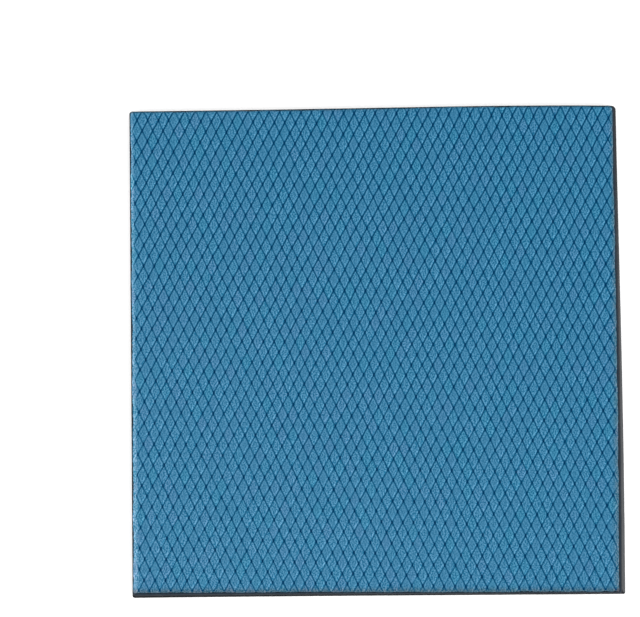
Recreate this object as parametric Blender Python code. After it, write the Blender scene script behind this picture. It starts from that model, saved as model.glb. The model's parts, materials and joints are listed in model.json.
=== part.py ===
"""Thermal pad sheet: a square of soft gap filler with an embossed cover film on its face.

Metres, +Z up. The sheet lies flat, and the origin is at the middle of its underside. Left and right
are -X and +X, front and back are -Y and +Y.
"""
import bmesh
import bpy

MM = 0.001

# Pad, the soft filled silicone that does the work
PAD_SIDE = 100.0 * MM              # square, measured at the foot, where it is widest
PAD_THICKNESS = 3.0 * MM
PAD_CORNER_RADIUS = 0.60 * MM
PAD_SHOULDER_RADIUS = 0.25 * MM    # rounding between a wall and the face
PAD_FOOT_RADIUS = 0.10 * MM        # rounding between a wall and the underside

# How far each cut wall leans in between foot and face, at both ends where the cut ran off true
PAD_LEAN_LEFT = 0.35 * MM
PAD_LEAN_BACK = 0.40 * MM
PAD_LEAN_RIGHT_BACK_END = 0.80 * MM
PAD_LEAN_RIGHT_FRONT_END = 1.35 * MM
PAD_LEAN_FRONT_LEFT_END = 0.80 * MM
PAD_LEAN_FRONT_RIGHT_END = 0.30 * MM

# Film, the peel-off cover, whose embossed grooves hold it a little off the pad
FILM_THICKNESS = 0.20 * MM
FILM_MARGIN = 0.10 * MM            # how far it stops short of the edges of the pad's face
FILM_STANDOFF = 0.30 * MM          # depth of the embossing, from the pad's face to the flat of the film
FILM_CORNER_RADIUS = 0.40 * MM
FILM_EDGE_RADIUS = 0.05 * MM

CORNER_SEGMENTS = 6
RIM_SEGMENTS = 3
LEVEL_TOLERANCE = 1e-6


def clear_scene():
    """Remove what the file opened with."""
    for scene_object in list(bpy.data.objects):
        bpy.data.objects.remove(scene_object, do_unlink=True)


def material(name, colour, roughness):
    """A plain Principled material."""
    made = bpy.data.materials.new(name)
    made.use_nodes = True
    shader = made.node_tree.nodes["Principled BSDF"]
    shader.inputs["Base Color"].default_value = (*colour, 1.0)
    shader.inputs["Roughness"].default_value = roughness
    shader.inputs["Metallic"].default_value = 0.0
    return made


def pad_outlines():
    """The pad's corners at foot and face, keyed by whether they are at the right and at the back."""
    half = PAD_SIDE / 2
    foot = {(right, back): (half if right else -half, half if back else -half)
            for right in (False, True) for back in (False, True)}
    face = {
        (False, True): (-half + PAD_LEAN_LEFT, half - PAD_LEAN_BACK),
        (True, True): (half - PAD_LEAN_RIGHT_BACK_END, half - PAD_LEAN_BACK),
        (True, False): (half - PAD_LEAN_RIGHT_FRONT_END, -half + PAD_LEAN_FRONT_RIGHT_END),
        (False, False): (-half + PAD_LEAN_LEFT, -half + PAD_LEAN_FRONT_LEFT_END),
    }
    return foot, face


def inset(outline, margin):
    """The same corners, moved in by a margin."""
    return {(right, back): (x - margin if right else x + margin, y - margin if back else y + margin)
            for (right, back), (x, y) in outline.items()}


def bevel_edges(mesh, edges, radius, segments):
    """Round the given edges of a bmesh."""
    bmesh.ops.bevel(mesh, geom=edges, offset=radius, segments=segments, profile=0.5, affect="EDGES",
                    clamp_overlap=True)


def edges_at_height(mesh, height):
    """The edges that lie level at one height."""
    return [edge for edge in mesh.edges
            if all(abs(corner.co.z - height) < LEVEL_TOLERANCE for corner in edge.verts)]


def four_sided_slab(foot, face, bottom, top, corner_radius, face_radius, foot_radius):
    """A slab between two outlines, with its upright corners rounded and then its two rims."""
    mesh = bmesh.new()
    bmesh.ops.create_cube(mesh, size=1.0)
    for corner in mesh.verts:
        is_face = corner.co.z > 0
        outline = face if is_face else foot
        x, y = outline[(corner.co.x > 0, corner.co.y > 0)]
        corner.co = (x, y, top if is_face else bottom)
    upright = [edge for edge in mesh.edges
               if abs(edge.verts[0].co.z - edge.verts[1].co.z) > LEVEL_TOLERANCE]
    bevel_edges(mesh, upright, corner_radius, CORNER_SEGMENTS)
    bevel_edges(mesh, edges_at_height(mesh, top), face_radius, RIM_SEGMENTS)
    bevel_edges(mesh, edges_at_height(mesh, bottom), foot_radius, RIM_SEGMENTS)
    bmesh.ops.recalc_face_normals(mesh, faces=mesh.faces)
    return mesh


def add_object(name, mesh, collection, finish):
    """Turn a bmesh into a named object in the collection."""
    data = bpy.data.meshes.new(name)
    mesh.to_mesh(data)
    mesh.free()
    data.materials.append(finish)
    made = bpy.data.objects.new(name, data)
    collection.objects.link(made)
    return made


def make_pad(collection):
    """The pad: a true square at the foot, with walls that lean in to the face."""
    foot, face = pad_outlines()
    mesh = four_sided_slab(foot, face, 0.0, PAD_THICKNESS, PAD_CORNER_RADIUS,
                           PAD_SHOULDER_RADIUS, PAD_FOOT_RADIUS)
    grey_silicone = material("grey_silicone", (0.075, 0.078, 0.080), 0.75)
    return add_object("silicone_pad", mesh, collection, grey_silicone)


def make_film(collection):
    """The cover film: a thin sheet with the outline of the pad's face, a little above it."""
    outline = inset(pad_outlines()[1], FILM_MARGIN)
    bottom = PAD_THICKNESS + FILM_STANDOFF
    mesh = four_sided_slab(outline, outline, bottom, bottom + FILM_THICKNESS, FILM_CORNER_RADIUS,
                           FILM_EDGE_RADIUS, FILM_EDGE_RADIUS)
    blue_film = material("blue_film", (0.045, 0.190, 0.340), 0.40)
    return add_object("embossed_film", mesh, collection, blue_film)


def main():
    clear_scene()
    sheet = bpy.data.collections.new("thermal_pad_sheet")
    bpy.context.scene.collection.children.link(sheet)
    make_pad(sheet)
    make_film(sheet)


main()
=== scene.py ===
"""Thermal pad sheet, dressed: embossed blue film, cut silicone pad, floor, light and camera.

Metres, +Z up, in the frame's own place. The film's relief is real geometry: a lattice of raised
diamonds between pressed grooves, cut to the film's outline and pinched down at its rim.

Sides are listed clockwise from above, as left, back, right and front, and corners from the front
left one on, so each corner comes before the side that starts there.
"""
import json
import math

import bmesh
import bpy
import numpy as np
from mathutils import Matrix, Vector, noise

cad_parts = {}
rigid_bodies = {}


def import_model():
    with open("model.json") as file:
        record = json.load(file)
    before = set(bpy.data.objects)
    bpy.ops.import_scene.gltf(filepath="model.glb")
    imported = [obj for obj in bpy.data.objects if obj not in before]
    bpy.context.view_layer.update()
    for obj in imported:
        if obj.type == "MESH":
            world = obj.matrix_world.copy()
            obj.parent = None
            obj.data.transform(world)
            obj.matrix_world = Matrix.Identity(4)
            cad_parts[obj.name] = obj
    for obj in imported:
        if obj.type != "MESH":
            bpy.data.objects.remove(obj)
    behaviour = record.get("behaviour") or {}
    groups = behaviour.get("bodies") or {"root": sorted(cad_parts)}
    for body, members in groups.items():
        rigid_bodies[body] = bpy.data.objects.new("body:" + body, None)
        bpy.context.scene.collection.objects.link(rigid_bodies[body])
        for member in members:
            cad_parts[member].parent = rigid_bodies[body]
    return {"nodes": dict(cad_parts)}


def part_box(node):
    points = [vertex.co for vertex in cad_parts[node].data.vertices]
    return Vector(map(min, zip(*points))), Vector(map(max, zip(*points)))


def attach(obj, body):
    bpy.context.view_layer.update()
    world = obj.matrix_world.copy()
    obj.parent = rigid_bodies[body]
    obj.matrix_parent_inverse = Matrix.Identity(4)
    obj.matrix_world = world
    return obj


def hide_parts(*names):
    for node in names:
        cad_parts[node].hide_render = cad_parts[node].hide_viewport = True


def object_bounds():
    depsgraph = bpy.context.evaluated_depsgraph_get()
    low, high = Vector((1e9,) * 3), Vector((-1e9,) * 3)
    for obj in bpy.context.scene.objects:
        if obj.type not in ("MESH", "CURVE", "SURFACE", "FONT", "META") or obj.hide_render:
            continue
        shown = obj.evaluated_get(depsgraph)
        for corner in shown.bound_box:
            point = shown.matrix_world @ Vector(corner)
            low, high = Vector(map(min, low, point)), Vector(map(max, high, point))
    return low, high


MM = 0.001
SEED = 20

# Camera, at the photograph's viewing angle: almost straight down, from 0.6 m
CAMERA_PLACE = Vector((2.98, -43.67, 600.02)) * MM
CAMERA_AIM = Vector((-11.21, 8.795, 0.0)) * MM
CAMERA_ROLL = math.radians(0.62)
CAMERA_LENS = 165.4
CAMERA_SENSOR = 36.0
CAMERA_NEAREST = 0.01
CAMERA_FARTHEST = 20.0

# Lattice of the embossing: the diamonds' diagonals, how far their rows and columns are turned
# clockwise from the sheet's sides, and one crossing of two grooves
DIAMOND_WIDTH = 2.166 * MM
DIAMOND_HEIGHT = 4.269 * MM
ROW_TURN = math.radians(1.81)
COLUMN_TURN = math.radians(2.10)
CROSSING = Vector((1.035, 1.205)) * MM
LATTICE_REACH = 40           # cells each way from that crossing, more than the sheet needs

# Section of a groove, as shares of the way from one groove to the next
GROOVE_FLANK = 0.07
GROOVE_SHOULDER = 0.15
FLANK_RISE = 0.55            # share of the relief that is gained by the middle of the flank
SAMPLES = (0.0, GROOVE_FLANK, GROOVE_SHOULDER, 1 - GROOVE_SHOULDER, 1 - GROOVE_FLANK)

# What a worn embossing roller leaves uneven
CROSSING_JITTER = 0.060 * MM
LATTICE_WARP = 0.12 * MM
LATTICE_WARP_PER_METRE = 70
LATTICE_WARP_LAYERS = (0.1, 0.5)     # of the noise, for the shift across and the shift along
LATTICE_SAG = 0.21 * MM      # how far the rows shift back at the front and back of the sheet
FACE_TILT = 0.030 * MM
HEIGHT_UNEVEN = 0.06
FALLING_UNEVEN = (0.36, 0.26)    # how far grooves down to the right stay unpressed: left, right
RISING_UNEVEN = (0.44, 0.02)     # the same for grooves up to the right: front, back
LEAST_UNEVEN = 0.5               # share of that which every stretch of groove has

# How this one was cut: its corners off the true square, and how far each side bows out, with the
# share of the way along it where it bows most
CORNERS_OFF = (Vector((0.0, 0.155)) * MM, Vector((-0.14, 0.055)) * MM,
               Vector((0.06, -0.135)) * MM, Vector((0.08, -0.075)) * MM)
BOWS = ((0.0, 0.5), (0.24 * MM, 0.75), (0.25 * MM, 0.62), (-0.06 * MM, 0.65))
BOW_REACH = 3.0 * MM

# Film
FILM_SEAT_GAP = 0.02 * MM    # between the pad's face and the film's underside
FILM_THICKNESS = 0.10 * MM
FILM_HEADROOM = 0.05 * MM    # kept free under the frame's highest point for tilted diamonds
FILM_DRAWN_IN = (0.0, 0.0, 0.0, 0.07 * MM)
FILM_EDGE_WANDER = 0.16 * MM
FILM_EDGE_WANDER_PER_METRE = 250
FILM_EDGE_WANDER_LAYER = 0.7
FILM_CORNER_RADII = (0.35 * MM, 0.40 * MM, 0.70 * MM, 0.25 * MM)
CORNER_CUTS = 3
CUT_TOLERANCE = 1e-8
SMALLEST_EDGE = 0.004 * MM
FLAT_FACE_WEIGHT = 60        # of large faces in the normals, so that the diamonds shade flat

# Rim of the film, where the cut pinched it down: its width at both ends of each side
RIM_WIDTHS = {"left": (1.40 * MM, 0.80 * MM), "back": (0.80 * MM, 0.85 * MM),
              "right": (0.90 * MM, 1.50 * MM), "front": (1.30 * MM, 1.30 * MM)}
RIM_WOBBLE = 0.25            # share of its width
RIM_WOBBLE_PER_METRE = 900
RIM_FLAT = (1.0, 0.50, 0.50, 0.35)   # share of the rim over which the relief sinks, by side
RIM_LOOPS = (0.30, 0.62, 1.0)
RIM_SCALLOP = 0.14 * MM      # how far the edge draws in where a groove runs out
SCALLOP_REACH = 0.30

# Pad walls
PAD_POINTS_PER_SIDE = 160
PAD_POINTS_PER_CORNER = 8
PAD_FOOT_ROWS = 3
PAD_WALL_ROWS = 12
PAD_SHOULDER_ROWS = 4
PAD_SHOULDER_SHARE = 0.72    # of the lean, gained below the shoulder
PAD_FLARE = 1.8              # above 1 the wall is hollow: it runs out at the foot like a skirt
PAD_CORNER_RADII = (0.45 * MM, 0.50 * MM, 0.90 * MM, 0.35 * MM)
PAD_FOOT_RADIUS = 0.10 * MM
PAD_SHOULDER_RADIUS = 0.25 * MM
PAD_SHARP_EDGE = math.radians(40)

# What the knife left on them: streaks and waves, both fading towards foot and shoulder
PAD_STREAK = 0.030 * MM
PAD_STREAKS_ROUND = 1500     # per metre
PAD_STREAKS_UP = 250
PAD_WAVE = 0.050 * MM
PAD_WAVES_ROUND = 120        # per metre
PAD_WAVES_UP = 100
PAD_WAVE_LAYER = 3.0
PAD_LEAST_WORN = 0.25
# Painted light on the right wall's flared foot, as if lit from the right
PAINTED_LIGHT_SIDE = 2             # the right one, whose flared foot is painted pale as painted light
PALE_FROM = 0.54 * MM        # outward from the face's edge
PALE_FULL = 0.80 * MM
PALE_AT_BACK = 0.25          # share of the paleness at the back end of that side
PALE_GAIN = 1.5              # of that share, over the length of the side
UNDERSIDE_LOW = 0.45         # tone of the underside, as that of a wall this far down from the face

# Colours of the film: each diamond lies between two tones, and some lean to violet or teal
FILM_TONES = ((0.0355, 0.159, 0.283), (0.0385, 0.171, 0.301))
FILM_VIOLET = (0.052, 0.157, 0.296)
FILM_TEAL = (0.023, 0.175, 0.290)
TINTED_SHARE = 0.22          # of the diamonds, for each of the two
MOST_TINTED = 0.4
# Grooves and crossings: the film pressed onto the dark pad, darkened further with painted shade in
# these recesses
GROOVE_BLUE_AND_SHADE = (0.0, 0.063, 0.152)
CROSSING_BLUE_AND_SHADE = (0.0, 0.034, 0.104)

# Factors on the film's red, green and blue
# Painted light and shade: the film is painted lighter towards the front left and darker towards the
# back right
FRONT_LEFT_PAINTED_LIGHT = (1.16, 1.035, 1.02)
BACK_RIGHT_PAINTED_SHADE = (0.87, 0.95, 0.965)
PAINTED_LIGHT_REACH = 0.08            # along X plus along Y, from the middle, where each is full
STREAK_TINTS = ((0.24, 0.65, 0.725), (1.88, 1.42, 1.32))     # in a dark and in a light streak
# Painted highlight on the diamonds' shoulders
SHOULDER_HIGHLIGHT_TINT = (2.3, 1.72, 1.60)
FLANK_TINT = (0.68, 0.98, 0.99)

# Ramps of the film: where each starts and ends, and what it runs between if not from 0 to 1
# Painted highlights on the diamonds' shoulders: on the lower right, on the lower left, and all
# round
LOWER_RIGHT_HIGHLIGHT = (0.70, 0.84, 0.0, 0.75)       # along a diamond's v
LOWER_LEFT_HIGHLIGHT = (0.16, 0.30, 0.25, 0.0)        # along its u
ALL_ROUND_HIGHLIGHT = (0.12, 0.30, 0.35, 0.0)             # away from the nearest groove
PILLOW = (0.05, 0.35)                                # the same
NEAR_CROSSING = (0.05, 0.19, 1.0, 0.0)               # away from both grooves
FLANK = (0.0, 0.45)                                  # down into a groove
PRESSED_AND_SHADED = (0.08, 0.74)
DEEP_CROSSING = (0.2, 0.6)
KNOTS = (0.0, 1.0, 0.5, 1.0)                         # over the crossings, by chance

# Painted light and shade on the film's rim, by side: a painted highlight on the left, greyer as a
# painted reflection of the white surroundings on the right, painted shade at the back, and darker
# and greyer at the front; the factors, and where in the rim they set in and are full
RIM_PAINTED_LIGHT_AND_SHADE = {"left": ((2.3, 1.50, 1.35), 0.05, 0.50), "back": ((0.72, 0.48, 0.42), 0.40, 1.0),
             "right": ((1.60, 0.83, 0.69), 0.0, 0.90), "front": ((1.05, 0.60, 0.50), 0.0, 0.90)}

# Drawn texture of the film, in streaks per metre
STREAKS_ALONG = 3200
STREAKS_ACROSS = 4000
STREAK_STEP = 1.1            # from a streak to its darker twin, in widths of a streak
STREAK_DEPTHS = (0.55, 1.45)     # of the shallowest and the deepest diamonds
STREAK_RANGE = 0.40          # strength at which a streak is as dark or as light as it gets

# Grains, in features per metre
FILM_GLOSS_GRAIN = 900
# Patches of the painted shoulder highlight
HIGHLIGHT_PATCHES = 1300
PAD_FINE_GRAIN = 5000
PAD_COARSE_GRAIN = 450
PAD_BUMP_GRAIN = 4000
PAD_GLOSS_GRAIN = 700

# Gloss and bump
FILM_ROUGHNESS = (0.36, 0.50)
FILM_SPECULAR = 0.012
PILLOW_BUMP = 0.060 * MM
STREAK_BUMP = 0.030 * MM
PAD_ROUGHNESS = (0.62, 0.82)
PAD_SPECULAR = 0.03
PAD_BUMP = 0.020 * MM

# Colours of the pad, each in the hollows and on the tops of its grain
# Painted shade just under the film's edge, tinted blue as a painted reflection of the film
PAD_SHADE_UNDER_FILM = ((0.013, 0.022, 0.034), (0.026, 0.038, 0.052))
PAD_WALL = ((0.018, 0.022, 0.027), (0.034, 0.038, 0.044))
# Painted shade at the wall's foot
PAD_FOOT_SHADE = ((0.006, 0.007, 0.008), (0.010, 0.012, 0.014))
# Painted light on the right wall's foot
PAD_PAINTED_FOOT_LIGHT = ((0.070, 0.075, 0.082), (0.110, 0.112, 0.116))
WALL_FROM = (0.10, 0.50)     # shares of the way down at which the wall's own colour comes in
# where the painted shade at the foot comes in
FOOT_FROM = (0.45, 0.85)

# Floor
FLOOR_SIZE = 6.0
FLOOR_RISE = 0.02 * MM       # above the underside, so that the floor and it don't lie in one plane
FLOOR_TONE = 0.90
FLOOR_ROUGHNESS = 0.9
FLOOR_SPECULAR = 0.2
FLOOR_GLOW = 0.30

# Light: the surroundings' strength at the horizon and above it, with the heights of a direction
# between which it changes, and three soft lamps, each with its place, its size and its power
HORIZON_STRENGTH = 1.02
SKY_STRENGTH = 0.85
HORIZON_TOP = 0.12
SKY_FROM = 0.25
LAMPS = {"front_right": ((0.70, -0.55, 0.75), 0.6, 5.0),
         "left": ((-0.85, -0.05, 0.75), 0.6, 2.5),
         "overhead": ((0.0, 0.0, 1.3), 0.9, 1.5)}
LAMP_AIM = Vector((0.0, 0.0, 0.0))
WHITE = (1.0, 1.0, 1.0, 1.0)


class Side:
    """One straight side of an outline: its two ends in plan, walked clockwise from above."""

    def __init__(self, start, end):
        self.start = start
        self.end = end
        along = (end - start).normalized()
        self.along = along
        self.inward = Vector((along.y, -along.x))

    def moved_in(self, at_start, at_end):
        """The same side, moved inward by one distance at its start and another at its end."""
        return Side(self.start + self.inward * at_start, self.end + self.inward * at_end)

    def crossing(self, other):
        """Where this side's line meets another's."""
        gap = other.start - self.start
        reach = (gap.x * other.along.y - gap.y * other.along.x) / (
            self.along.x * other.along.y - self.along.y * other.along.x)
        return self.start + self.along * reach


def outer_line(node, direction, low, high):
    """The long straight edge of a CAD node that lies furthest out one way, between two heights."""
    mesh = node.data
    long_edge = max(node.dimensions) / 2
    best, best_reach = None, -math.inf
    for edge in mesh.edges:
        ends = [mesh.vertices[index].co for index in edge.vertices]
        if (ends[0] - ends[1]).length < long_edge or not all(low <= end.z <= high for end in ends):
            continue
        reach = min(end.xy @ direction for end in ends)
        if reach > best_reach:
            best, best_reach = ends, reach
    start, end = best[0].xy.copy(), best[1].xy.copy()
    clockwise = Vector((direction.y, -direction.x))
    if (end - start) @ clockwise < 0:
        start, end = end, start
    return Side(start, end)


def outline_of(node, low, high, drawn_in=(0.0, 0.0, 0.0, 0.0)):
    """The four sides of a node between two heights, each running from corner to corner."""
    directions = (Vector((-1, 0)), Vector((0, 1)), Vector((1, 0)), Vector((0, -1)))
    lines = [outer_line(node, direction, low, high).moved_in(margin, margin)
             for direction, margin in zip(directions, drawn_in)]
    corners = [lines[index - 1].crossing(lines[index]) + CORNERS_OFF[index] for index in range(4)]
    return [Side(corners[index], corners[(index + 1) % 4]) for index in range(4)]


def smooth(share):
    """A ramp from 0 to 1 with soft ends."""
    share = np.clip(share, 0.0, 1.0)
    return share * share * (3 - 2 * share)


def noise_over(places, layer, per_metre):
    """Smooth noise from -1 to 1 over plan places. Each layer is another pattern."""
    return np.array([noise.noise(Vector((x, y, layer)) * per_metre) for x, y in places[:, :2]])


class Lattice:
    """The embossed diamonds. A cell's sides are grooves at whole numbers of u and v."""

    def __init__(self, half_length):
        across = Vector((math.cos(ROW_TURN), -math.sin(ROW_TURN))) * DIAMOND_WIDTH
        along = Vector((math.sin(COLUMN_TURN), math.cos(COLUMN_TURN))) * DIAMOND_HEIGHT
        self.half_length = half_length
        self.u_step = (across + along) / 2
        self.v_step = (across - along) / 2
        rng = np.random.default_rng(SEED)
        size = (2 * LATTICE_REACH + 2, 2 * LATTICE_REACH + 2)
        self.jitter = rng.uniform(-1, 1, (*size, 2)) * CROSSING_JITTER
        self.tilt = rng.uniform(-1, 1, (*size, 2)) * FACE_TILT
        self.lift = 1 - rng.uniform(0, 1, size) * HEIGHT_UNEVEN
        self.fill = rng.uniform(LEAST_UNEVEN, 1, (*size, 2))
        self.tone = rng.uniform(0, 1, (*size, 2))
        self.knot = rng.uniform(0, 1, size)

    def at(self, table, u, v):
        """A table's row for whole numbers u and v."""
        return table[u.astype(int) + LATTICE_REACH, v.astype(int) + LATTICE_REACH]

    def place(self, u, v):
        """Plan position of lattice points, with each crossing moved a little."""
        whole_u, whole_v = np.floor(u), np.floor(v)
        share_u, share_v = (u - whole_u)[:, None], (v - whole_v)[:, None]
        low = self.at(self.jitter, whole_u, whole_v) * (1 - share_u)
        low = low + self.at(self.jitter, whole_u + 1, whole_v) * share_u
        high = self.at(self.jitter, whole_u, whole_v + 1) * (1 - share_u)
        high = high + self.at(self.jitter, whole_u + 1, whole_v + 1) * share_u
        flat = np.outer(u, self.u_step) + np.outer(v, self.v_step) + np.array(CROSSING)
        return flat + low * (1 - share_v) + high * share_v

    def warped(self, places):
        """The same places, shifted by a sag of the rows and a slow wander of the whole lattice."""
        wander = [noise_over(places, layer, LATTICE_WARP_PER_METRE)
                  for layer in LATTICE_WARP_LAYERS]
        moved = places + np.stack(wander, axis=1) * LATTICE_WARP
        moved[:, 1] += LATTICE_SAG * (places[:, 1] / self.half_length) ** 2
        return moved

    def relief(self, u, v, places):
        """Height above the groove bottoms as a share of the relief, tilt, and depth in a groove."""
        whole_u, whole_v = np.floor(u), np.floor(v)
        share_u, share_v = u - whole_u, v - whole_v
        edge_u, edge_v = np.minimum(share_u, 1 - share_u), np.minimum(share_v, 1 - share_v)
        section = ((0.0, GROOVE_FLANK, GROOVE_SHOULDER), (0.0, FLANK_RISE, 1.0))
        rise_u, rise_v = np.interp(edge_u, *section), np.interp(edge_v, *section)
        # Some stretches of groove were pressed less deep than the crossings
        falling = np.interp(places[:, 0] / self.half_length, (-1, 1), FALLING_UNEVEN)
        rising = np.interp(places[:, 1] / self.half_length, (-1, 1), RISING_UNEVEN)
        fill_u = self.at(self.fill[..., 0], np.round(u), whole_v) * rise_v * falling
        fill_v = self.at(self.fill[..., 1], whole_u, np.round(v)) * rise_u * rising
        rise_u = rise_u + (1 - rise_u) * fill_u
        rise_v = rise_v + (1 - rise_v) * fill_v
        # The diamonds' corners are rounded off
        rise = 1 - np.minimum(np.hypot(1 - rise_u, 1 - rise_v), 1)
        tilt = self.at(self.tilt, whole_u, whole_v)
        lean = tilt[:, 0] * (share_u - 0.5) + tilt[:, 1] * (share_v - 0.5)
        return rise * self.at(self.lift, whole_u, whole_v), lean * rise, 1 - rise


def cells_over(lattice, line, sides):
    """Quads between neighbours on lines of u and v, in the cells that lie over the outline."""
    count, per_cell = len(line), len(SAMPLES)
    columns, rows = (axis.ravel() for axis in np.meshgrid(
        np.arange(count - 1), np.arange(count - 1), indexing="ij"))
    middle_u = line[columns // per_cell * per_cell] + 0.5
    middle_v = line[rows // per_cell * per_cell] + 0.5
    middles = lattice.place(middle_u, middle_v)
    kept = np.ones(len(middles), bool)
    for side in sides:
        kept &= (middles - np.array(side.start)) @ np.array(side.inward) > -DIAMOND_HEIGHT
    first = columns[kept] * count + rows[kept]
    return np.stack((first, first + 1, first + count + 1, first + count), axis=1)


def lattice_sheet(lattice, sides):
    """A flat mesh of lattice cells over the outline, whose vertices remember their u and v."""
    reach = LATTICE_REACH - 1
    line = (np.arange(-reach, reach)[:, None] + np.array(SAMPLES)).ravel()
    u, v = (axis.ravel() for axis in np.meshgrid(line, line, indexing="ij"))
    places = lattice.warped(lattice.place(u, v))
    used, quads = np.unique(cells_over(lattice, line, sides), return_inverse=True)
    mesh = bmesh.new()
    u_layer = mesh.verts.layers.float.new("u")
    v_layer = mesh.verts.layers.float.new("v")
    mesh.verts.layers.float.new("under")
    corners = []
    for index in used:
        corner = mesh.verts.new((*places[index], 0.0))
        corner[u_layer] = u[index]
        corner[v_layer] = v[index]
        corners.append(corner)
    for quad in quads.reshape(-1, 4):
        mesh.faces.new([corners[index] for index in quad])
    return mesh


def cut(mesh, side, clear):
    """Cut a flat bmesh along a side's line, and drop what lies outside it if asked."""
    geometry = mesh.verts[:] + mesh.edges[:] + mesh.faces[:]
    bmesh.ops.bisect_plane(mesh, geom=geometry, dist=CUT_TOLERANCE,
                           plane_co=(*side.start, 0.0), plane_no=(*-side.inward, 0.0),
                           clear_outer=clear)


def round_corner(mesh, before, after, radius):
    """Trim the corner between two sides to a round one."""
    corner = before.crossing(after)
    centre = corner + (before.inward + after.inward) * radius
    for step in range(1, CORNER_CUTS + 1):
        turn = math.pi / 2 * step / (CORNER_CUTS + 1)
        inward = before.inward * math.cos(turn) + after.inward * math.sin(turn)
        start = centre - inward * radius
        cut(mesh, Side(start, start + Vector((-inward.y, inward.x))), clear=True)


def trim(mesh, sides):
    """Cut the lattice to the film's outline, with round corners and edges along its rim."""
    for side in sides:
        cut(mesh, side, clear=True)
    for index, side in enumerate(sides):
        round_corner(mesh, sides[index - 1], side, FILM_CORNER_RADII[index])
    for side, (at_start, at_end) in zip(sides, RIM_WIDTHS.values()):
        for share in RIM_LOOPS:
            cut(mesh, side.moved_in(at_start * share, at_end * share), clear=False)
    bmesh.ops.remove_doubles(mesh, verts=mesh.verts, dist=SMALLEST_EDGE)
    bmesh.ops.triangulate(mesh, faces=mesh.faces)


def close_below(mesh):
    """Give the sheet an edge and a flat underside, whose vertices are marked as under."""
    under = mesh.verts.layers.float["under"]
    top = mesh.faces[:]
    border = [edge for edge in mesh.edges if edge.is_boundary]
    dropped = {}
    for corner in (corner for edge in border for corner in edge.verts):
        if corner not in dropped:
            dropped[corner] = mesh.verts.new(corner.co, corner)
            dropped[corner][under] = 1.0
    for edge in border:
        # The new face shares this edge the other way round, so that both face outward
        far = edge.link_loops[0].vert
        near = edge.other_vert(far)
        mesh.faces.new((near, far, dropped[far], dropped[near]))
    lower_border = [edge for edge in mesh.edges if edge.is_boundary]
    for edge in border + lower_border:
        edge.smooth = False
    bmesh.ops.triangle_fill(mesh, edges=lower_border, use_beauty=False)
    bmesh.ops.triangulate(mesh, faces=mesh.faces)
    bmesh.ops.recalc_face_normals(mesh, faces=mesh.faces)
    if top[0].normal.z < 0:
        bmesh.ops.reverse_faces(mesh, faces=mesh.faces)


def vertex_values(data, name):
    """A float attribute of a mesh as an array."""
    values = np.empty(len(data.attributes[name].data), np.float32)
    data.attributes[name].data.foreach_get("value", values)
    return values.astype(float)


def coordinates(data):
    """A mesh's vertices as an array."""
    places = np.empty(len(data.vertices) * 3, np.float32)
    data.vertices.foreach_get("co", places)
    return places.reshape(-1, 3).astype(float)


def add_values(data, name, domain, values):
    """Write a float attribute."""
    layer = data.attributes.new(name, "FLOAT", domain)
    layer.data.foreach_set("value", np.asarray(values, np.float32))


def way_and_gap(places, side):
    """For each vertex, its share of the way along a side and its distance inward from it."""
    from_start = places[:, :2] - np.array(side.start)
    way = from_start @ np.array(side.along) / (side.end - side.start).length
    return np.clip(way, 0, 1), from_start @ np.array(side.inward)


def rim_shares(places, sides):
    """For each side, 0 at the film's cut edge and 1 where the rim ends, for each vertex."""
    wobble = 1 + RIM_WOBBLE * noise_over(places, 0.0, RIM_WOBBLE_PER_METRE)
    shares = []
    for side, (at_start, at_end) in zip(sides, RIM_WIDTHS.values()):
        way, gap = way_and_gap(places, side)
        width = (at_start + (at_end - at_start) * way) * wobble
        shares.append(np.clip(gap / width, 0, 1))
    return np.stack(shares)


def bow(way, peak):
    """Shape of a bowed side, as a share of its greatest bow, which lies at the peak."""
    return np.sin(np.pi * way ** (math.log(0.5) / math.log(peak)))


def bowed(places, sides):
    """How far each vertex moves out with a bowed side, less and less away from it."""
    moves = np.zeros((len(places), 2))
    for side, (most, peak) in zip(sides, BOWS):
        way, gap = way_and_gap(places, side)
        out = most * bow(way, peak) * (1 - smooth(gap / BOW_REACH))
        moves -= np.outer(out, np.array(side.inward))
    return moves


def uneven_edge(u, v, places, sides):
    """How far each vertex draws in from its nearest side: where grooves run out, and by chance."""
    to_groove = np.minimum(np.abs(u - np.round(u)), np.abs(v - np.round(v)))
    wander = noise_over(places, FILM_EDGE_WANDER_LAYER, FILM_EDGE_WANDER_PER_METRE)
    pull = (1 - smooth(to_groove / SCALLOP_REACH)) * RIM_SCALLOP + wander * FILM_EDGE_WANDER
    gaps = np.stack([way_and_gap(places, side)[1] for side in sides])
    inward = np.array([side.inward for side in sides])[np.argmin(gaps, axis=0)]
    return inward * pull[:, None]


def emboss(data, lattice, sides, seat, highest):
    """Raise the diamonds of a flat, closed lattice mesh, and mark what its material needs."""
    places = coordinates(data)
    u, v = vertex_values(data, "u"), vertex_values(data, "v")
    on_top = 1 - vertex_values(data, "under")
    rise, lean, groove = lattice.relief(u, v, places)
    shares = rim_shares(places, sides)
    inside = smooth((shares / np.array(RIM_FLAT)[:, None]).min(axis=0))
    pressed = seat + FILM_THICKNESS
    top = pressed + ((highest - FILM_HEADROOM - pressed) * rise + lean) * inside
    places[:, 2] = np.where(on_top > 0.5, top, seat)
    places[:, :2] += uneven_edge(u, v, places, sides) * (1 - inside)[:, None]
    places[:, :2] += bowed(places, sides)
    data.vertices.foreach_set("co", places.astype(np.float32).ravel())
    add_values(data, "groove", "POINT", groove * inside * on_top)
    add_values(data, "knot", "POINT", lattice.at(lattice.knot, np.round(u), np.round(v)))
    for name, share in zip(RIM_WIDTHS, shares):
        add_values(data, name + "_rim", "POINT", 1 - smooth(share))


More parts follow.
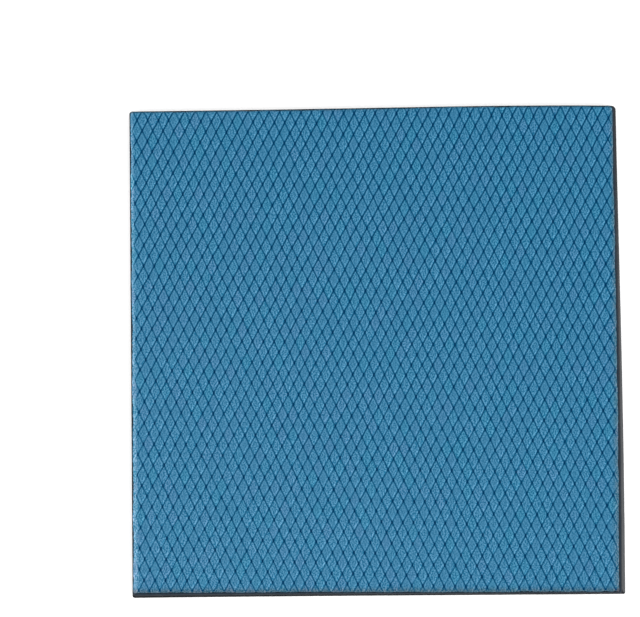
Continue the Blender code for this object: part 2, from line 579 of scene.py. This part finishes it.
def mark_diamonds(data, lattice):
    """Give every face its diamond's own tone and tint."""
    u, v = vertex_values(data, "u"), vertex_values(data, "v")
    corners = np.empty(len(data.loops), np.int32)
    data.loops.foreach_get("vertex_index", corners)
    triangles = corners.reshape(-1, 3)
    cell_u, cell_v = np.floor(u[triangles].mean(1)), np.floor(v[triangles].mean(1))
    tone = lattice.at(lattice.tone, cell_u, cell_v)
    add_values(data, "tone", "FACE", tone[:, 0])
    add_values(data, "tint", "FACE", tone[:, 1])


def add_object(name, mesh, finish):
    """Turn a bmesh into an object with one material and smooth shading."""
    data = bpy.data.meshes.new(name)
    mesh.to_mesh(data)
    mesh.free()
    data.materials.append(finish)
    data.shade_smooth()
    made = bpy.data.objects.new(name, data)
    bpy.context.scene.collection.objects.link(made)
    return made


def make_film(frame):
    """The embossed film: relief on top, flat where it lies on the pad, closed round its edge."""
    lowest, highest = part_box("embossed_film")
    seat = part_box("silicone_pad")[1].z + FILM_SEAT_GAP
    sides = outline_of(frame["nodes"]["embossed_film"], lowest.z, highest.z, FILM_DRAWN_IN)
    lattice = Lattice((highest.y - lowest.y) / 2)
    mesh = lattice_sheet(lattice, sides)
    trim(mesh, sides)
    close_below(mesh)
    film = add_object("diamond_film", mesh, film_material())
    emboss(film.data, lattice, sides, seat, highest.z)
    mark_diamonds(film.data, lattice)
    film.data.update()
    normals = film.modifiers.new("flat_diamonds", "WEIGHTED_NORMAL")
    normals.mode = "FACE_AREA"
    normals.weight = FLAT_FACE_WEIGHT
    normals.keep_sharp = True
    return film


def row_corners(foot, face, share, extra):
    """Corners of one row of the wall: a share of the way from foot to face, and inset a little."""
    between = [low.lerp(high, share) for low, high in zip(foot, face)]
    return [corner - Vector((math.copysign(extra, corner.x), math.copysign(extra, corner.y)))
            for corner in between]


def ring(corners, radii):
    """Points round four corners with round ends, the same number for every ring."""
    points = []
    for index, radius in enumerate(radii):
        here, after = corners[index], corners[(index + 1) % 4]
        before = corners[index - 1]
        inward = Side(before, here).inward
        turned = Side(here, after).inward
        centre = here + (inward + turned) * radius
        for step in range(PAD_POINTS_PER_CORNER):
            turn = math.pi / 2 * step / (PAD_POINTS_PER_CORNER - 1)
            points.append(centre - (inward * math.cos(turn) + turned * math.sin(turn)) * radius)
        start = points[-1]
        end = after - Side(here, after).along * radii[(index + 1) % 4]
        most, peak = BOWS[index]
        for step in range(1, PAD_POINTS_PER_SIDE):
            way = step / PAD_POINTS_PER_SIDE
            points.append(start.lerp(end, way) - turned * float(most * bow(way, peak)))
    return points


def lie_on_wall(point, foot, face):
    """The side whose wall a plan point lies nearest to, its way along it, and the lean there."""
    to_sides = [(point - start).dot(Side(start, end).inward)
                for start, end in zip(foot, foot[1:] + foot[:1])]
    side = to_sides.index(min(to_sides))
    start, end = foot[side], foot[(side + 1) % 4]
    way = min(1.0, max(0.0, (point - start).dot(end - start) / (end - start).length_squared))
    inward = Side(start, end).inward
    lean_start = (face[side] - start).dot(inward)
    lean_end = (face[(side + 1) % 4] - end).dot(inward)
    return side, way, lean_start + (lean_end - lean_start) * way


def painted_foot_light(point, share, foot, face):
    """How pale a wall vertex is painted, as painted light: only out on the foot of the right side.
    """
    side, way, lean = lie_on_wall(point, foot, face)
    if side != PAINTED_LIGHT_SIDE:
        return 0.0
    pale = min(1.0, max(0.0, (lean * (1 - share) - PALE_FROM) / (PALE_FULL - PALE_FROM)))
    return pale * min(1.0, PALE_AT_BACK + way * PALE_GAIN)


def wall_rows(lowest, highest):
    """Rows of the wall from the foot up: share of the way in to the face, extra inset, height."""
    rows = []
    for step in range(PAD_FOOT_ROWS):
        turn = math.pi / 2 * step / PAD_FOOT_ROWS
        rows.append((0.0, PAD_FOOT_RADIUS * (1 - math.sin(turn)),
                     lowest + PAD_FOOT_RADIUS * (1 - math.cos(turn))))
    wall_low, wall_high = lowest + PAD_FOOT_RADIUS, highest - PAD_SHOULDER_RADIUS
    for step in range(PAD_WALL_ROWS):
        way = step / (PAD_WALL_ROWS - 1)
        share = PAD_SHOULDER_SHARE * (1 - (1 - way) ** PAD_FLARE)
        rows.append((share, 0.0, wall_low + (wall_high - wall_low) * way))
    for step in range(1, PAD_SHOULDER_ROWS + 1):
        turn = math.pi / 2 * step / PAD_SHOULDER_ROWS
        share = PAD_SHOULDER_SHARE + (1 - PAD_SHOULDER_SHARE) * (1 - math.cos(turn))
        rows.append((share, 0.0, wall_high + PAD_SHOULDER_RADIUS * math.sin(turn)))
    return rows


def worn(point, height, height_share):
    """A wall point, moved inward a little by the knife's streaks and waves."""
    streak = noise.noise(Vector((point.x * PAD_STREAKS_ROUND, point.y * PAD_STREAKS_ROUND,
                                 height * PAD_STREAKS_UP)))
    wave = noise.noise(Vector((point.x * PAD_WAVES_ROUND, point.y * PAD_WAVES_ROUND,
                               PAD_WAVE_LAYER + height * PAD_WAVES_UP)))
    free = PAD_LEAST_WORN + (1 - PAD_LEAST_WORN) * math.sin(math.pi * height_share)
    shift = (streak * PAD_STREAK + (wave - 0.5) * PAD_WAVE) * free
    return point + point.normalized() * min(shift, 0.0)


def wall_rings(mesh, foot, face, lowest, highest):
    """Vertices of the wall, row by row from the foot up, with what their material needs."""
    pale_layer = mesh.verts.layers.float.new("pale")
    low_layer = mesh.verts.layers.float.new("low")
    under_layer = mesh.verts.layers.float.new("underside")
    rings = []
    for share, extra, height in wall_rows(lowest, highest):
        height_share = min(1.0, max(0.0, (height - lowest) / (highest - lowest)))
        made = []
        for point in ring(row_corners(foot, face, share, extra), PAD_CORNER_RADII):
            vertex = mesh.verts.new((*worn(point, height, height_share), height))
            vertex[pale_layer] = painted_foot_light(point, share, foot, face)
            vertex[low_layer] = 1 - height_share
            made.append(vertex)
        rings.append(made)
    # The first ring borders the underside, which has one tone all over
    for vertex in rings[0]:
        vertex[pale_layer] = 0.0
        vertex[low_layer] = UNDERSIDE_LOW
        vertex[under_layer] = 1.0
    return rings


def make_pad(frame):
    """The cut pad: a flat underside, hollow walls that run out at the foot, and a flat face."""
    node = frame["nodes"]["silicone_pad"]
    lowest, highest = (corner.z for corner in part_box("silicone_pad"))
    foot = [side.start for side in outline_of(node, lowest, lowest + PAD_FOOT_RADIUS * 2)]
    face = [side.start for side in outline_of(node, highest - PAD_FOOT_RADIUS, highest)]
    mesh = bmesh.new()
    rings = wall_rings(mesh, foot, face, lowest, highest)
    for lower, upper in zip(rings, rings[1:]):
        for index in range(len(lower)):
            after = (index + 1) % len(lower)
            mesh.faces.new((lower[after], lower[index], upper[index], upper[after]))
    mesh.faces.new(rings[0])
    mesh.faces.new(reversed(rings[-1]))
    bmesh.ops.recalc_face_normals(mesh, faces=mesh.faces)
    pad = add_object("cut_pad", mesh, pad_material())
    for polygon in pad.data.polygons:
        polygon.use_smooth = len(polygon.vertices) == 4
    pad.data.set_sharp_from_angle(angle=PAD_SHARP_EDGE)
    return pad


class Nodes:
    """A material's node tree, with short calls for what is used here."""

    def __init__(self, name):
        self.material = bpy.data.materials.new(name)
        self.material.use_nodes = True
        self.tree = self.material.node_tree
        self.shader = self.tree.nodes["Principled BSDF"]

    def add(self, kind, **settings):
        """A new node with some of its settings."""
        node = self.tree.nodes.new(kind)
        for name, value in settings.items():
            setattr(node, name, value)
        return node

    def link(self, source, target):
        """Connect an output to an input."""
        self.tree.links.new(source, target)

    def finish(self, colour, roughness, specular, normal):
        """Connect what the shader needs, and return the material."""
        self.link(colour, self.shader.inputs["Base Color"])
        self.link(roughness, self.shader.inputs["Roughness"])
        self.link(normal, self.shader.inputs["Normal"])
        self.shader.inputs["Specular IOR Level"].default_value = specular
        return self.material

    def attribute(self, name):
        """A value that the mesh carries."""
        return self.add("ShaderNodeAttribute", attribute_name=name).outputs["Fac"]

    def place(self):
        """The object's own coordinates, in metres."""
        return self.add("ShaderNodeTexCoord").outputs["Object"]

    def noise(self, vector, scale, detail, roughness=0.5):
        """Noise over a vector."""
        texture = self.add("ShaderNodeTexNoise")
        texture.inputs["Scale"].default_value = scale
        texture.inputs["Detail"].default_value = detail
        texture.inputs["Roughness"].default_value = roughness
        self.link(vector, texture.inputs["Vector"])
        return texture.outputs["Fac"]

    def grain(self, scale, low=0.0, high=1.0, start=0.3, end=0.7, detail=2.0, roughness=0.5):
        """Noise in features per metre, stretched to run from low to high."""
        return self.ramp(self.noise(self.place(), scale, detail, roughness), start, end, low, high)

    def streaks(self, turn):
        """Short streaks at a turn from the X axis, each beside its twin, so that none blot."""
        turned = self.add("ShaderNodeVectorRotate", rotation_type="Z_AXIS")
        turned.inputs["Angle"].default_value = -turn
        self.link(self.place(), turned.inputs["Vector"])
        drawn = self.add("ShaderNodeMapping")
        drawn.inputs["Scale"].default_value = (STREAKS_ALONG, STREAKS_ACROSS, STREAKS_ACROSS)
        self.link(turned.outputs["Vector"], drawn.inputs["Vector"])
        beside = self.add("ShaderNodeVectorMath", operation="ADD")
        beside.inputs[1].default_value = (0.0, STREAK_STEP, 0.0)
        self.link(drawn.outputs["Vector"], beside.inputs[0])
        return self.math("SUBTRACT", self.noise(drawn.outputs["Vector"], 1.0, 0.0),
                         self.noise(beside.outputs["Vector"], 1.0, 0.0))

    def tinted(self, colour, factors):
        """A colour with its red, green and blue made darker or lighter."""
        node = self.add("ShaderNodeVectorMath", operation="MULTIPLY")
        node.inputs[1].default_value = factors
        self.link(colour, node.inputs[0])
        return node.outputs["Vector"]

    def ramp(self, value, start, end, low=0.0, high=1.0):
        """A value from low to high while another runs from start to end."""
        node = self.add("ShaderNodeMapRange", clamp=True)
        numbers = {"From Min": start, "From Max": end, "To Min": low, "To Max": high}
        for name, number in numbers.items():
            node.inputs[name].default_value = number
        self.link(value, node.inputs["Value"])
        return node.outputs["Result"]

    def mix(self, share, low, high):
        """A colour between two, each a colour or a node's output."""
        node = self.add("ShaderNodeMix", data_type="RGBA")
        sockets = [socket for socket in node.inputs if socket.type == "RGBA"]
        for socket, value in zip(sockets, (low, high)):
            if isinstance(value, tuple):
                socket.default_value = (*value, 1.0)
            else:
                self.link(value, socket)
        self.link(share, node.inputs["Factor"])
        return next(socket for socket in node.outputs if socket.type == "RGBA")

    def math(self, operation, first, second=0.0):
        """A sum, product or the like of two values, each a number or a node's output."""
        node = self.add("ShaderNodeMath", operation=operation)
        for socket, value in zip(node.inputs, (first, second)):
            if isinstance(value, (int, float)):
                socket.default_value = value
            else:
                self.link(value, socket)
        return node.outputs["Value"]

    def bump(self, height, distance, normal=None):
        """A normal that follows a height, on top of another normal if one is given."""
        node = self.add("ShaderNodeBump")
        node.inputs["Distance"].default_value = distance
        node.inputs["Strength"].default_value = 1.0
        self.link(height, node.inputs["Height"])
        if normal is not None:
            self.link(normal, node.inputs["Normal"])
        return node.outputs["Normal"]


def diamond_blue(nodes):
    """The film's blue: each diamond's own tone, with painted light towards the front left corner
    and painted shade towards the back right corner.
    """
    tone, tint = nodes.attribute("tone"), nodes.attribute("tint")
    violet = nodes.ramp(tint, 1 - TINTED_SHARE, 1.0, 0.0, MOST_TINTED)
    teal = nodes.ramp(tint, 0.0, TINTED_SHARE, MOST_TINTED, 0.0)
    blue = nodes.mix(tone, *FILM_TONES)
    blue = nodes.mix(violet, blue, FILM_VIOLET)
    blue = nodes.mix(teal, blue, FILM_TEAL)
    # Painted light and shade, from the front left to the back right
    across = nodes.add("ShaderNodeVectorMath", operation="DOT_PRODUCT")
    across.inputs[1].default_value = (1.0, 1.0, 0.0)
    nodes.link(nodes.place(), across.inputs[0])
    painted_shade_share = nodes.ramp(across.outputs["Value"], -PAINTED_LIGHT_REACH, PAINTED_LIGHT_REACH)
    return nodes.mix(painted_shade_share, nodes.tinted(blue, FRONT_LEFT_PAINTED_LIGHT),
                     nodes.tinted(blue, BACK_RIGHT_PAINTED_SHADE))


def drawn_texture(nodes):
    """Streaks along both groove directions, which some diamonds took deeper than others."""
    rising = math.atan2(DIAMOND_HEIGHT, DIAMOND_WIDTH)
    drawn = nodes.math("ADD", nodes.streaks(rising), nodes.streaks(-rising))
    return nodes.math("MULTIPLY", drawn, nodes.ramp(nodes.attribute("tone"), 0, 1, *STREAK_DEPTHS))


def to_grooves(nodes, operation):
    """The lesser or the greater distance from a groove of each direction, in cells."""
    return nodes.math(operation, nodes.math("PINGPONG", nodes.attribute("u"), 0.5),
                      nodes.math("PINGPONG", nodes.attribute("v"), 0.5))


def painted_shoulder_highlight(nodes, to_groove):
    """How bright the diamonds' shoulders are painted: a painted highlight beside the grooves,
    strongest on the lower right and lower left sides.
    """
    patchy = nodes.grain(HIGHLIGHT_PATCHES, 0.25, 1.0, start=0.35, end=0.60)
    lower_right = nodes.ramp(nodes.math("FRACT", nodes.attribute("v")), *LOWER_RIGHT_HIGHLIGHT)
    lower_left = nodes.ramp(nodes.math("FRACT", nodes.attribute("u")), *LOWER_LEFT_HIGHLIGHT)
    lit = nodes.math("MULTIPLY", nodes.math("MAXIMUM", lower_right, lower_left), patchy)
    return nodes.math("MAXIMUM", lit, nodes.ramp(to_groove, *ALL_ROUND_HIGHLIGHT))


def with_painted_rim_light(nodes, blue):
    """The film's blue with painted light and shade on its rim, each side in its own colour."""
    for name, (factors, start, end) in RIM_PAINTED_LIGHT_AND_SHADE.items():
        share = nodes.ramp(nodes.attribute(name + "_rim"), start, end)
        blue = nodes.mix(share, blue, nodes.tinted(blue, factors))
    return blue


def with_grooves(nodes, blue):
    """The film's blue with its grooves and, darkest of all, some of their crossings: darker where
    the film is pressed onto the dark pad, and partly painted shade in these recesses.
    """
    groove = nodes.attribute("groove")
    blue = nodes.mix(nodes.ramp(groove, *FLANK), blue, nodes.tinted(blue, FLANK_TINT))
    colour = nodes.mix(nodes.ramp(groove, *PRESSED_AND_SHADED), blue, GROOVE_BLUE_AND_SHADE)
    near = nodes.ramp(to_grooves(nodes, "MAXIMUM"), *NEAR_CROSSING)
    crossing = nodes.math("MULTIPLY", near, nodes.ramp(groove, *DEEP_CROSSING))
    knot = nodes.ramp(nodes.attribute("knot"), *KNOTS)
    return nodes.mix(nodes.math("MULTIPLY", crossing, knot), colour, CROSSING_BLUE_AND_SHADE)


def film_material():
    """Satin blue film with a fine drawn texture, darker where it is pressed onto the pad and with
    painted shade in its grooves, painted highlights on its shoulders, and painted light and shade
    on its rim and across it.
    """
    nodes = Nodes("embossed_blue_film")
    blue = diamond_blue(nodes)
    drawn = drawn_texture(nodes)
    dark, light = (nodes.tinted(blue, factors) for factors in STREAK_TINTS)
    blue = nodes.mix(nodes.ramp(drawn, -STREAK_RANGE, STREAK_RANGE), dark, light)
    to_groove = to_grooves(nodes, "MINIMUM")
    # Painted highlights on the diamonds' shoulders
    blue = nodes.mix(painted_shoulder_highlight(nodes, to_groove), blue, nodes.tinted(blue, SHOULDER_HIGHLIGHT_TINT))
    # Painted light and shade on the film's rim, then the grooves
    colour = with_grooves(nodes, with_painted_rim_light(nodes, blue))
    pillow = nodes.bump(nodes.ramp(to_groove, *PILLOW), PILLOW_BUMP)
    normal = nodes.bump(drawn, STREAK_BUMP, normal=pillow)
    roughness = nodes.grain(FILM_GLOSS_GRAIN, *FILM_ROUGHNESS)
    return nodes.finish(colour, roughness, FILM_SPECULAR, normal)


def pad_material():
    """Matt dark grey silicone: a fine filler grain where it is cut, painted shade under the film's
    edge and at the foot, and painted light on the right wall's foot.

    The underside was cast against a liner, so it is smooth, with a soft, coarser mottle.
    """
    nodes = Nodes("grey_filled_silicone")
    underside = nodes.attribute("underside")
    cut_face = nodes.ramp(underside, 0.0, 1.0, 1.0, 0.0)
    fine = nodes.grain(PAD_FINE_GRAIN, detail=4.0, roughness=0.7)
    coarse = nodes.grain(PAD_COARSE_GRAIN, 0.2, 0.8, detail=3.0, roughness=0.6)
    grain = nodes.math("ADD", nodes.math("MULTIPLY", fine, cut_face),
                       nodes.math("MULTIPLY", coarse, underside))
    shade_under_film, wall, foot, pale = (
        nodes.mix(grain, *tones) for tones in (PAD_SHADE_UNDER_FILM, PAD_WALL, PAD_FOOT_SHADE, PAD_PAINTED_FOOT_LIGHT))
    low = nodes.attribute("low")
    # Painted shade under the film's edge, the wall's own colour, then painted shade at the foot
    dark = nodes.mix(nodes.ramp(low, *WALL_FROM), shade_under_film, wall)
    dark = nodes.mix(nodes.ramp(low, *FOOT_FROM), dark, foot)
    # Painted light on the right wall's foot
    colour = nodes.mix(nodes.attribute("pale"), dark, pale)
    relief = nodes.noise(nodes.place(), PAD_BUMP_GRAIN, 3.0, 0.6)
    normal = nodes.bump(nodes.math("MULTIPLY", relief, cut_face), PAD_BUMP)
    roughness = nodes.grain(PAD_GLOSS_GRAIN, *PAD_ROUGHNESS)
    return nodes.finish(colour, roughness, PAD_SPECULAR, normal)


def make_floor(height):
    """A wide plain floor, so pale that it prints white."""
    bpy.ops.mesh.primitive_plane_add(size=FLOOR_SIZE, location=(0, 0, height))
    floor = bpy.context.object
    floor.name = "floor"
    nodes = Nodes("pale_floor")
    settings = {"Base Color": (FLOOR_TONE, FLOOR_TONE, FLOOR_TONE, 1.0),
                "Roughness": FLOOR_ROUGHNESS, "Specular IOR Level": FLOOR_SPECULAR,
                "Emission Color": WHITE, "Emission Strength": FLOOR_GLOW}
    for name, value in settings.items():
        nodes.shader.inputs[name].default_value = value
    floor.data.materials.append(nodes.material)


def make_surroundings():
    """Even white surroundings, brightest along the horizon."""
    world = bpy.data.worlds.new("studio")
    world.use_nodes = True
    tree = world.node_tree
    direction = tree.nodes.new("ShaderNodeTexCoord").outputs["Generated"]
    split = tree.nodes.new("ShaderNodeSeparateXYZ")
    strength = tree.nodes.new("ShaderNodeMapRange")
    numbers = {"From Min": HORIZON_TOP, "From Max": SKY_FROM,
               "To Min": HORIZON_STRENGTH, "To Max": SKY_STRENGTH}
    for name, number in numbers.items():
        strength.inputs[name].default_value = number
    background = tree.nodes["Background"]
    background.inputs["Color"].default_value = WHITE
    tree.links.new(direction, split.inputs["Vector"])
    tree.links.new(split.outputs["Z"], strength.inputs["Value"])
    tree.links.new(strength.outputs["Result"], background.inputs["Strength"])
    bpy.context.scene.world = world


def add_lamp(name, place, size, power):
    """A soft square lamp, pointed at the sheet."""
    light = bpy.data.lights.new(name, "AREA")
    light.shape = "SQUARE"
    light.size = size
    light.energy = power
    lamp = bpy.data.objects.new(name, light)
    lamp.location = place
    lamp.rotation_mode = "QUATERNION"
    lamp.rotation_quaternion = (LAMP_AIM - Vector(place)).to_track_quat("-Z", "Y")
    bpy.context.scene.collection.objects.link(lamp)


def make_camera():
    """The photograph's camera."""
    data = bpy.data.cameras.new("camera")
    data.lens = CAMERA_LENS
    data.sensor_width = CAMERA_SENSOR
    data.clip_start = CAMERA_NEAREST
    data.clip_end = CAMERA_FARTHEST
    camera = bpy.data.objects.new("camera", data)
    back = (CAMERA_PLACE - CAMERA_AIM).normalized()
    right = Vector((0.0, 1.0, 0.0)).cross(back).normalized()
    level = Matrix((right, back.cross(right), back)).transposed()
    turned = level @ Matrix.Rotation(-CAMERA_ROLL, 3, "Z")
    camera.matrix_world = Matrix.Translation(CAMERA_PLACE) @ turned.to_4x4()
    bpy.context.scene.collection.objects.link(camera)
    bpy.context.scene.camera = camera


def main():
    """Dress the frame and set the stage."""
    for scene_object in list(bpy.data.objects):
        bpy.data.objects.remove(scene_object, do_unlink=True)
    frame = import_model()
    cad_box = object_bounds()

    film = make_film(frame)
    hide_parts("embossed_film")
    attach(film, "root")

    pad = make_pad(frame)
    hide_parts("silicone_pad")
    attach(pad, "root")

    make_floor(cad_box[0].z + FLOOR_RISE)
    make_surroundings()
    for name, (place, size, power) in LAMPS.items():
        add_lamp(name, place, size, power)
    make_camera()
    bpy.context.scene.view_settings.view_transform = "Standard"


main()
